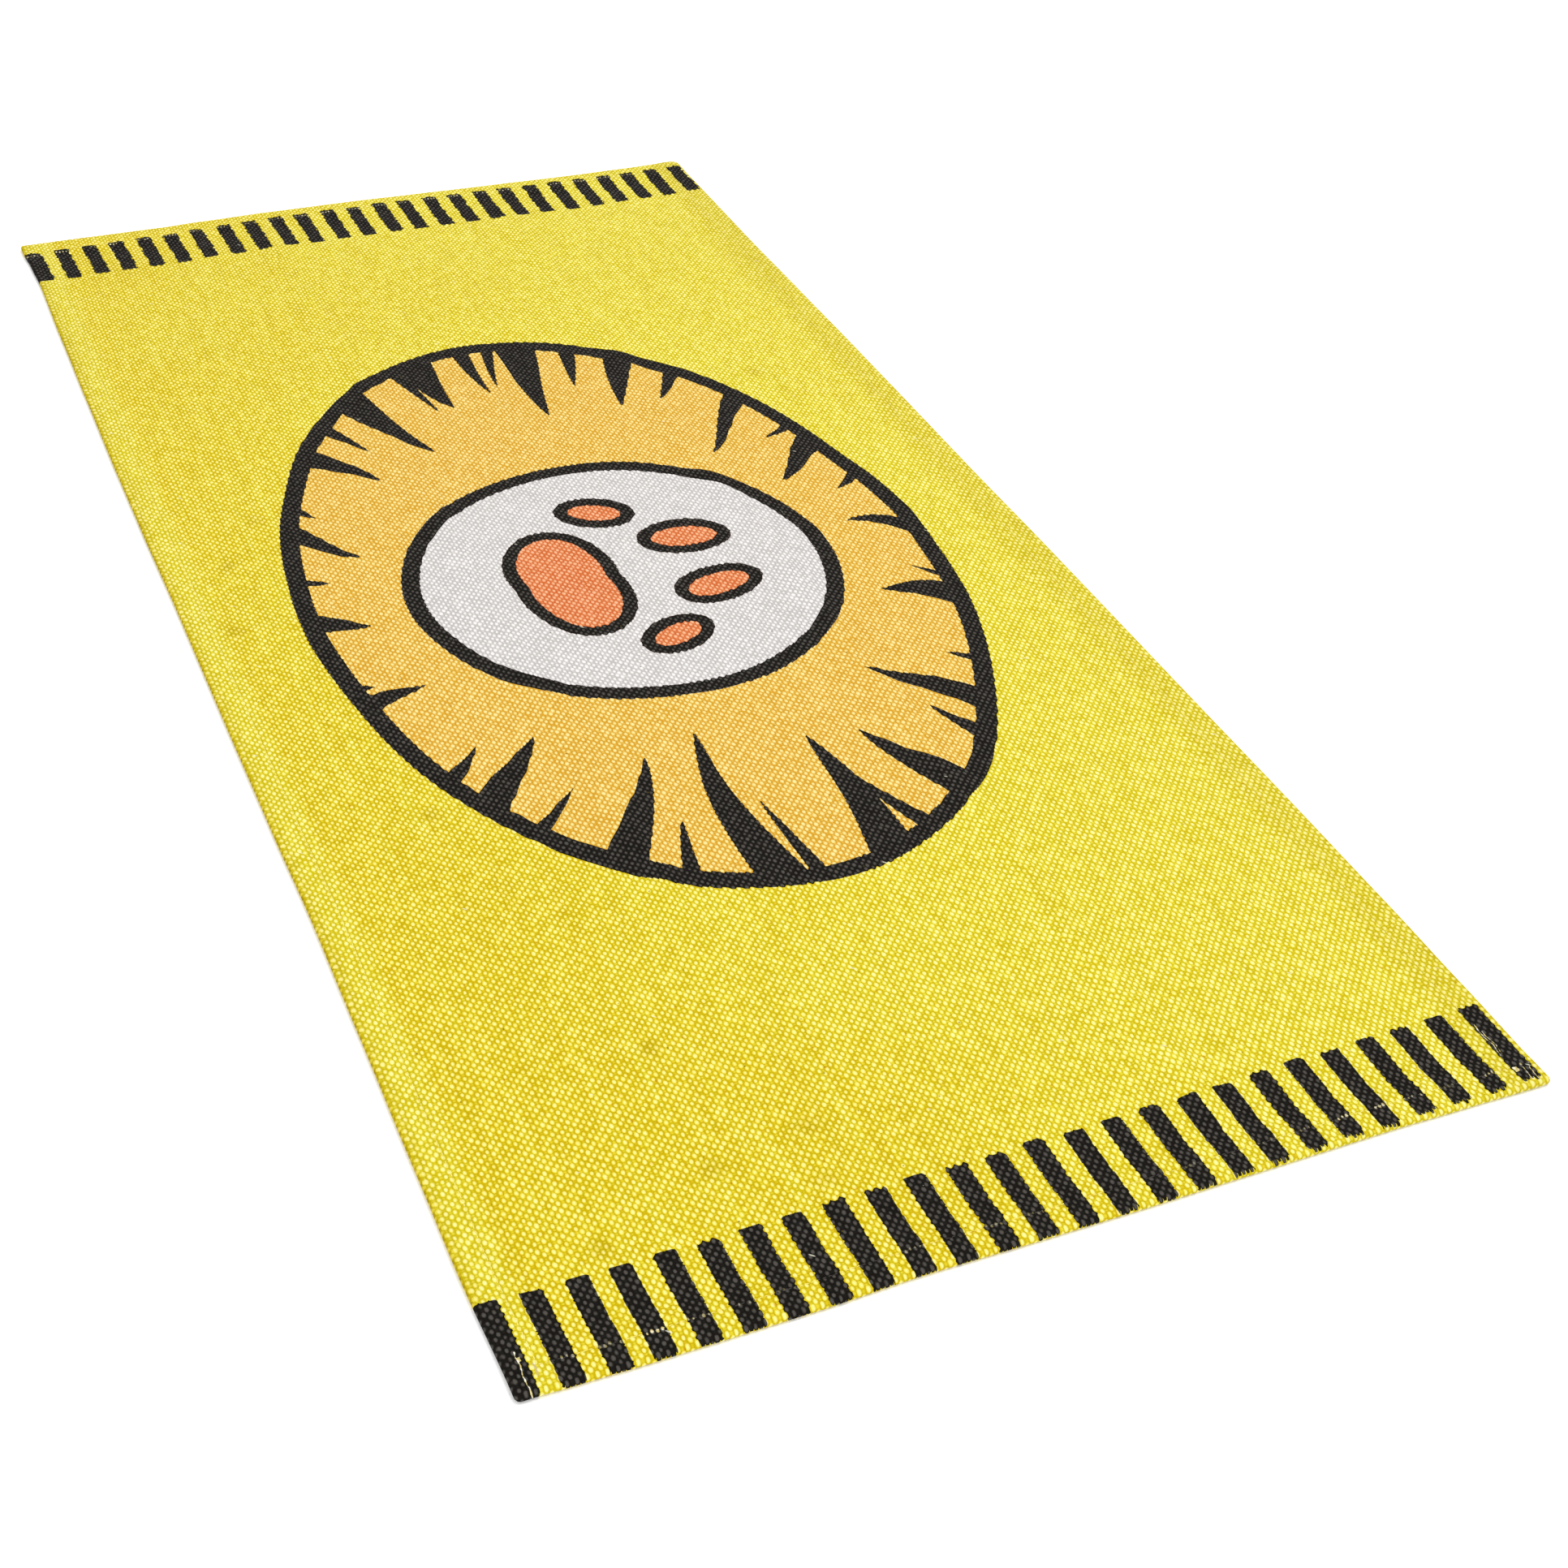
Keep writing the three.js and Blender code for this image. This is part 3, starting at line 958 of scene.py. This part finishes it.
def hem_puckers(x, y):
    """Small unevenness along the hem, strongest at the stitches."""
    from_end, from_side = insets(x, y)
    along = np.where(from_side < from_end, x, y)
    puckers = np.zeros_like(x)
    for wave in HEM_WAVES:
        puckers += wave["rise"] * np.sin(2 * math.pi * along / wave["length"] + wave["phase"])
    inside = np.minimum(from_end, from_side)
    return puckers * eased(inside, 0, 12 * MM) * (1 - eased(inside, HEM, HEM + HEM_FADE))


def groove(x, y):
    """1 along the line of stitches, and 0 away from it."""
    from_line = np.minimum(*insets(x, y)) - STITCH_INSET
    return np.exp(-((from_line / GROOVE_REACH * GROOVE_SHARPNESS) ** 2))


def underside(x, y):
    """On the floor under the hem, up over the step, and down to the floor again."""
    inside = np.minimum(*insets(x, y)) - HEM
    hem_lift = (HEM_THICK - CLOTH) * (1 - eased(inside, HEM_STEP, HEM_FADE))
    middle = hem_lift + loose_rise(x, y)
    return np.where(inside <= 0, UNDER_GROOVE * groove(x, y), middle)


def topside(x, y):
    from_end, from_side = insets(x, y)
    inside = np.minimum(from_end, from_side) - HEM

    def crossing(distance):
        return 1 - eased(distance, HEM - 4 * MM, HEM + HEM_FADE / 2)

    hem_top = HEM_THICK + CORNER_RISE * crossing(from_end) * crossing(from_side)
    slope = (HEM_THICK - CLOTH) * (1 - eased(inside, HEM_STEP, HEM_FADE)) + loose_rise(x, y) + CLOTH
    top = np.where(inside > 0, slope, hem_top)
    return top + hem_puckers(x, y) - GROOVE_DEPTH * groove(x, y)


class Skin:
    """The rug's points and faces, with each face's cloth and bake places."""

    def __init__(self):
        self.points = []
        self.count = 0
        self.faces = []
        self.cloth = []
        self.bake = []
        self.finish = []

    def add_points(self, x, y, z):
        flat_x, flat_y = bowed(*rounded_corner(x, y))
        self.points.append(np.stack([flat_x, flat_y, z], -1).reshape(-1, 3))
        numbers = np.arange(self.count, self.count + x.size).reshape(x.shape)
        self.count += x.size
        return numbers

    def add_faces(self, corners, cloth, bake, finish):
        """Four-cornered faces.

        Corners are point numbers. Each corner has a cloth and a bake place, each face a finish number.
        """
        self.faces.append(corners.reshape(-1, 4))
        self.cloth.append(cloth.reshape(-1, 2))
        self.bake.append(bake.reshape(-1, 2))
        self.finish.append(finish.reshape(-1))

    def middle(self):
        """The middle of the bowed outline, which goes to the origin."""
        points = np.concatenate(self.points)
        return (points.min(0)[:2] + points.max(0)[:2]) / 2

    def mesh(self, name, materials, middle):
        mesh = bpy.data.meshes.new(name)
        points = np.concatenate(self.points)
        points[:, :2] -= middle
        mesh.from_pydata(points.tolist(), [], np.concatenate(self.faces).tolist())
        for label, places in ((CLOTH_MAP, self.cloth), (BAKE_MAP, self.bake)):
            layer = mesh.uv_layers.new(name=label)
            layer.data.foreach_set("uv", np.concatenate(places).astype(np.float32).ravel())
        mesh.polygons.foreach_set("material_index", np.concatenate(self.finish).astype(np.int32))
        mesh.polygons.foreach_set("use_smooth", np.ones(len(mesh.polygons), bool))
        for material in materials:
            mesh.materials.append(material)
        mesh.update()
        return mesh


def quads(values):
    """The values at the four corners of each cell of a grid, anticlockwise seen from above."""
    return np.stack([values[:-1, :-1], values[1:, :-1], values[1:, 1:], values[:-1, 1:]], 2)


# The bake square: the top and the folded edge in its lower part, the underside above them
TOP_SHARE = 0.66  # of the square's height
BAKE_GAP = 0.005
TOP_ROOM = 9 * MM  # for the folded edge
UNDER_ROOM = 4 * MM


def top_bake(x, y):
    across = 0.5 + x / (LENGTH + 2 * TOP_ROOM)
    up = (0.5 + y / (WIDTH + 2 * TOP_ROOM)) * (TOP_SHARE - 2 * BAKE_GAP) + BAKE_GAP
    return np.stack([across, up], -1)


def under_bake(x, y):
    across = 0.5 + x / (LENGTH + 2 * UNDER_ROOM)
    up = TOP_SHARE + (0.5 + y / (WIDTH + 2 * UNDER_ROOM)) * (1 - TOP_SHARE - BAKE_GAP)
    return np.stack([across, up], -1)


PLAIN, STRIPED, BADGE, BACK = range(4)


def top_finish(x, y):
    """The finish number of each face of the printed side, from the face's middle."""
    in_length = np.abs(x) < BADGE_LENGTH / 2 + BADGE_ROOM
    in_width = np.abs(y) < BADGE_WIDTH / 2 + BADGE_ROOM
    middle = np.where(in_length & in_width, BADGE, PLAIN)
    return np.where(np.abs(x) > STRIPED_END, STRIPED, middle)


def turned_cloth(x, y, middle_x, middle_y):
    """Cloth places under the hem, where the sheet goes on past its folded edge."""
    from_end, from_side = insets(middle_x, middle_y)
    past_end = np.sign(x) * (LENGTH + EDGE_WRAP - np.abs(x))
    past_side = np.sign(y) * (WIDTH + EDGE_WRAP - np.abs(y))
    by_end = from_end < from_side
    hem = np.minimum(from_end, from_side) < HEM
    cloth_x = np.where(hem & by_end, past_end, x)
    cloth_y = np.where(hem & ~by_end, past_side, y)
    return np.stack([cloth_x, cloth_y], -1), hem


def rug_skin():
    """The top, the underside and the folded edge between them."""
    xs = grid_lines(LENGTH)
    ys = grid_lines(WIDTH)
    x, y = np.meshgrid(xs, ys, indexing="ij")
    skin = Skin()
    under = skin.add_points(x, y, underside(x, y))
    top = skin.add_points(x, y, topside(x, y))
    corner_x, corner_y = quads(x), quads(y)
    middle_x, middle_y = corner_x.mean(2), corner_y.mean(2)
    places = np.stack([corner_x, corner_y], -1)
    skin.add_faces(quads(top), places, top_bake(corner_x, corner_y), top_finish(middle_x, middle_y))
    shape = corner_x.shape
    spread_x = np.broadcast_to(middle_x[..., None], shape)
    spread_y = np.broadcast_to(middle_y[..., None], shape)
    cloth, hem = turned_cloth(corner_x, corner_y, spread_x, spread_y)
    finish = np.where(hem[..., 0], PLAIN, BACK)
    down = [0, 3, 2, 1]  # the underside's faces look down
    bake = under_bake(corner_x, corner_y)
    skin.add_faces(quads(under)[..., down], cloth[:, :, down], bake[:, :, down], finish)
    add_folded_edge(skin, xs, ys, under, top)
    return skin


def rim_order(columns, rows):
    """Grid points round the rim, in order, starting at the low corner."""
    rim = [(i, 0) for i in range(columns)]
    rim += [(columns - 1, j) for j in range(1, rows)]
    rim += [(i, rows - 1) for i in range(columns - 2, -1, -1)]
    rim += [(0, j) for j in range(rows - 2, 0, -1)]
    return np.array(rim)


def add_folded_edge(skin, xs, ys, under, top):
    """The rounded fold between the underside and the top."""
    rim = rim_order(len(xs), len(ys))
    x, y = xs[rim[:, 0]], ys[rim[:, 1]]
    end_side = np.where(rim[:, 0] == 0, -1, np.where(rim[:, 0] == len(xs) - 1, 1, 0))
    long_side = np.where(rim[:, 1] == 0, -1, np.where(rim[:, 1] == len(ys) - 1, 1, 0))
    thickness = topside(x, y)
    numbers, cloths = [], []
    for face in range(EDGE_FACES + 1):
        turn = (face / EDGE_FACES - 0.5) * math.pi
        height = (1 + math.sin(turn)) / 2
        outward = EDGE_ROUND * math.cos(turn)
        if face == 0:
            number = under[rim[:, 0], rim[:, 1]]
        elif face == EDGE_FACES:
            number = top[rim[:, 0], rim[:, 1]]
        else:
            number = skin.add_points(x + end_side * outward, y + long_side * outward, thickness * height)
        wrapped = (1 - height) * EDGE_WRAP
        numbers.append(number)
        cloths.append(np.stack([x + end_side * wrapped, y + long_side * wrapped], -1))
    for lower in range(EDGE_FACES):
        low, high = numbers[lower], numbers[lower + 1]
        low_cloth, high_cloth = cloths[lower], cloths[lower + 1]
        corners = np.stack([low, np.roll(low, -1), np.roll(high, -1), high], 1)
        cloth = np.stack([low_cloth, np.roll(low_cloth, -1, 0), np.roll(high_cloth, -1, 0), high_cloth], 1)
        middle = cloth.mean(1)
        bake = top_bake(cloth[..., 0], cloth[..., 1])
        skin.add_faces(corners, cloth, bake, top_finish(middle[:, 0], middle[:, 1]))


def stitch_middles():
    """Middles of the stitches round the hem, and 1 for each that runs along X."""
    end, side = LENGTH / 2 - STITCH_INSET, WIDTH / 2 - STITCH_INSET
    places = []
    for half, line, along_x in ((end, side, 1), (side, end, 0)):
        count = round(2 * half / STITCH_PITCH)
        run = (np.arange(count) + 0.5) / count * 2 * half - half
        for edge in (-line, line):
            across = np.full(count, edge)
            x, y = (run, across) if along_x else (across, run)
            places.append(np.stack([x, y, np.full(count, along_x)]))
    return np.concatenate(places, 1)


def add_stitches(skin, surface, up, first):
    """One arched stitch at each place, on the top (up 1) or the underside (up -1)."""
    middle_x, middle_y, along_x = stitch_middles()
    count = len(middle_x)
    chance = np.random.default_rng(first + 1)
    share = np.linspace(-1, 1, STITCH_RINGS)[:, None, None]
    turn = (np.arange(STITCH_SIDES + 1) / STITCH_SIDES * 2 * math.pi)[:, None]
    length = STITCH_LENGTH / 2 * chance.uniform(*STITCH_LENGTHS, count)
    radius = THREAD_RADIUS * chance.uniform(*THREAD_SIZES, count) * (1 - STITCH_TAPER * share ** 4)
    facing = np.where(along_x, -up, up)
    along = share * length + 0 * turn
    lean = chance.uniform(-STITCH_LEAN, STITCH_LEAN, count)
    across = facing * np.cos(turn) * radius + along * lean
    rise = np.sin(turn) * radius + STITCH_RISE * (1 - STITCH_DIP * share ** 2)
    x = middle_x + np.where(along_x, along, across)
    y = middle_y + np.where(along_x, across, along)
    z = surface(middle_x, middle_y) + up * rise
    numbers = skin.add_points(x[:, :-1], y[:, :-1], z[:, :-1])
    closed = np.concatenate([numbers, numbers[:, :1]], 1)
    corners = np.moveaxis(quads(closed), 2, -1)
    cloth = np.moveaxis(quads(np.stack([x, y], -1)), 2, -2)
    bake = np.moveaxis(quads(stitch_bake(first + np.arange(count), share, turn)), 2, -2)
    skin.add_faces(corners, cloth, bake, np.zeros(corners.shape[:-1]))
    return first + count


def stitch_bake(cell, share, turn):
    """Bake places: each stitch has one cell of a square grid."""
    u = cell % STITCH_CELLS + 0.5 + 0.35 * share + 0 * turn
    v = cell // STITCH_CELLS + 0.15 + 0.7 * turn / (2 * math.pi) + 0 * share
    return np.stack([u, v], -1) / STITCH_CELLS


def stitching_skin():
    skin = Skin()
    first = add_stitches(skin, topside, 1, 0)
    add_stitches(skin, underside, -1, first)
    return skin


def add_piece(mesh, name):
    piece = bpy.data.objects.new(name, mesh)
    bpy.context.scene.collection.objects.link(piece)
    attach(piece, "root")
    return piece


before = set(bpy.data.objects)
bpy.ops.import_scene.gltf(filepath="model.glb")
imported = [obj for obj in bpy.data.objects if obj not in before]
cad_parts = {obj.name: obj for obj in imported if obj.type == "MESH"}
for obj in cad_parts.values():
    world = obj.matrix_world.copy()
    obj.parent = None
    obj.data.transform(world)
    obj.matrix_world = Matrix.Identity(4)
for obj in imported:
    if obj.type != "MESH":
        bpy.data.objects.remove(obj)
add_camera()
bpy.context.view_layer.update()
add_studio()

skin = rug_skin()
middle = skin.middle()
finishes = [plain_cloth(), striped_cloth(), badge_cloth(), back_cloth()]
rug = add_piece(skin.mesh("rug_cloth", finishes, middle), "rug_cloth")
stitching = add_piece(stitching_skin().mesh("hem_stitching", [sewing_thread()], middle), "hem_stitching")
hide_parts("rug")
